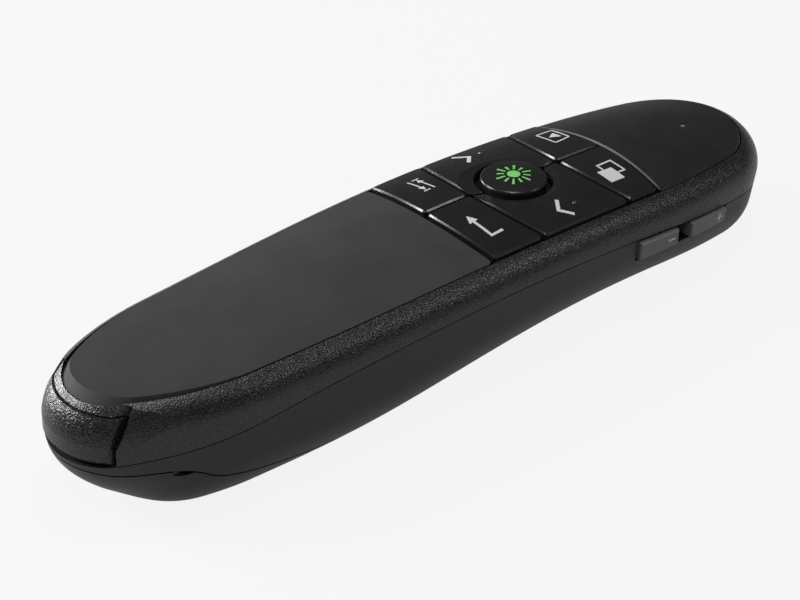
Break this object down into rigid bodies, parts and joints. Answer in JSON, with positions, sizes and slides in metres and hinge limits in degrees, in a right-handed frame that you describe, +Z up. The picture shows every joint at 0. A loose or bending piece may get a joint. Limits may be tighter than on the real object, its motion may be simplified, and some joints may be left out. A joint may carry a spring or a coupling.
{
  "type": "wireless presentation clicker",
  "caption": "Curved hand-held presentation remote with sprung keys, a round laser button, side volume keys, a sliding power switch, a hinged battery door and a USB receiver stored in its tail",
  "frame": {"origin": "on the resting plane, under the middle of the length and width", "axes": "+X from the tail with the receiver to the nose with the laser, +Y to the left of someone holding it, +Z up through the keys"},
  "size_m": [0.1372, 0.0349, 0.0229],
  "materials": {
    "grained_black": "fine-grained black moulding",
    "satin_black": "smooth satin black moulding",
    "soft_touch": "matt soft-touch coating",
    "key_grey": "dark grey moulding with white pad-printed signs",
    "volume_grey": "mid-grey moulding",
    "circuit_green": "solder mask",
    "switch_black": "moulded component body",
    "inner_plastic": "plain moulding",
    "tinned_steel": "tinned or nickel-plated sheet",
    "screw_steel": "black-zinc steel",
    "lamp_white": "surface-mount lamp",
    "clear": "polished clear plastic",
    "brass": "turned brass",
    "gold_strip": "gold-plated strip",
    "cell_sleeve": "printed foil sleeve without lettering",
    "cap_black": "coarse leather-like grain",
    "tongue_white": "insulator moulding",
    "sign_white": "pad-printed signs",
    "sign_green": "pad-printed sun"
  },
  "bodies": {
    "housing": {"upper_housing": "grained_black", "lower_housing": "satin_black", "palm_panel": "soft_touch", "nose_panel": "satin_black", "main_board": "circuit_green", "key_switches": "switch_black", "side_switches": "switch_black", "volume_carrier": "inner_plastic", "slide_switch": "switch_black", "radio_module": "tinned_steel", "controller_chip": "switch_black", "board_parts": "tinned_steel", "status_led": "lamp_white", "light_pipe": "clear", "laser_module": "brass", "laser_lens": "clear", "laser_driver": "circuit_green", "laser_cradle": "inner_plastic", "laser_bezel": "grained_black", "laser_window": "clear", "battery_tray": "inner_plastic", "battery_left": "cell_sleeve", "battery_right": "cell_sleeve", "battery_springs": "tinned_steel", "battery_contacts": "tinned_steel", "receiver_dock": "inner_plastic", "dock_spring": "tinned_steel", "housing_screws": "screw_steel"},
    "tab_key": {"tab_key": "key_grey"},
    "enter_key": {"enter_key": "key_grey"},
    "previous_key": {"previous_key": "key_grey"},
    "next_key": {"next_key": "key_grey"},
    "show_key": {"show_key": "key_grey"},
    "blank_key": {"blank_key": "key_grey"},
    "laser_button": {"laser_button": "key_grey"},
    "volume_down_key": {"volume_down_key": "volume_grey"},
    "volume_up_key": {"volume_up_key": "volume_grey"},
    "power_slider": {"power_slider": "volume_grey"},
    "battery_door": {"battery_door": "satin_black"},
    "receiver": {"receiver_cap": "cap_black", "receiver_plug": "tinned_steel", "receiver_tongue": "tongue_white", "receiver_contacts": "gold_strip", "receiver_board": "circuit_green"}
  },
  "joints": [
    {"name": "tab_press", "type": "slide", "parent": "housing", "child": "tab_key", "axis": [-0.0201, 0, -0.9998], "range_m": [0, 0.0004], "stiffness_N_per_m": 1500},
    {"name": "enter_press", "type": "slide", "parent": "housing", "child": "enter_key", "axis": [-0.0201, 0, -0.9998], "range_m": [0, 0.0004], "stiffness_N_per_m": 1500},
    {"name": "previous_press", "type": "slide", "parent": "housing", "child": "previous_key", "axis": [-0.0201, 0, -0.9998], "range_m": [0, 0.0004], "stiffness_N_per_m": 1500},
    {"name": "next_press", "type": "slide", "parent": "housing", "child": "next_key", "axis": [-0.0201, 0, -0.9998], "range_m": [0, 0.0004], "stiffness_N_per_m": 1500},
    {"name": "show_press", "type": "slide", "parent": "housing", "child": "show_key", "axis": [-0.0201, 0, -0.9998], "range_m": [0, 0.0004], "stiffness_N_per_m": 1500},
    {"name": "blank_press", "type": "slide", "parent": "housing", "child": "blank_key", "axis": [-0.0201, 0, -0.9998], "range_m": [0, 0.0004], "stiffness_N_per_m": 1500},
    {"name": "laser_press", "type": "slide", "parent": "housing", "child": "laser_button", "axis": [-0.0201, 0, -0.9998], "range_m": [0, 0.0004], "stiffness_N_per_m": 1500},
    {"name": "volume_down_press", "type": "slide", "parent": "housing", "child": "volume_down_key", "axis": [0, 1, 0], "range_m": [0, 0.00035], "stiffness_N_per_m": 1500},
    {"name": "volume_up_press", "type": "slide", "parent": "housing", "child": "volume_up_key", "axis": [0, 1, 0], "range_m": [0, 0.00035], "stiffness_N_per_m": 1500},
    {"name": "power_slide", "type": "slide", "parent": "housing", "child": "power_slider", "axis": [0.9998, 0, -0.0201], "range_m": [0, 0.004]},
    {"name": "door_hinge", "type": "hinge", "parent": "housing", "child": "battery_door", "pos_m": [-0.00569, 0, 0.00212], "axis": [0, -1, 0], "range_deg": [0, 40]},
    {"name": "receiver_slide", "type": "slide", "parent": "housing", "child": "receiver", "axis": [-0.9998, 0, 0.0201], "range_m": [0, 0.02]}
  ]
}
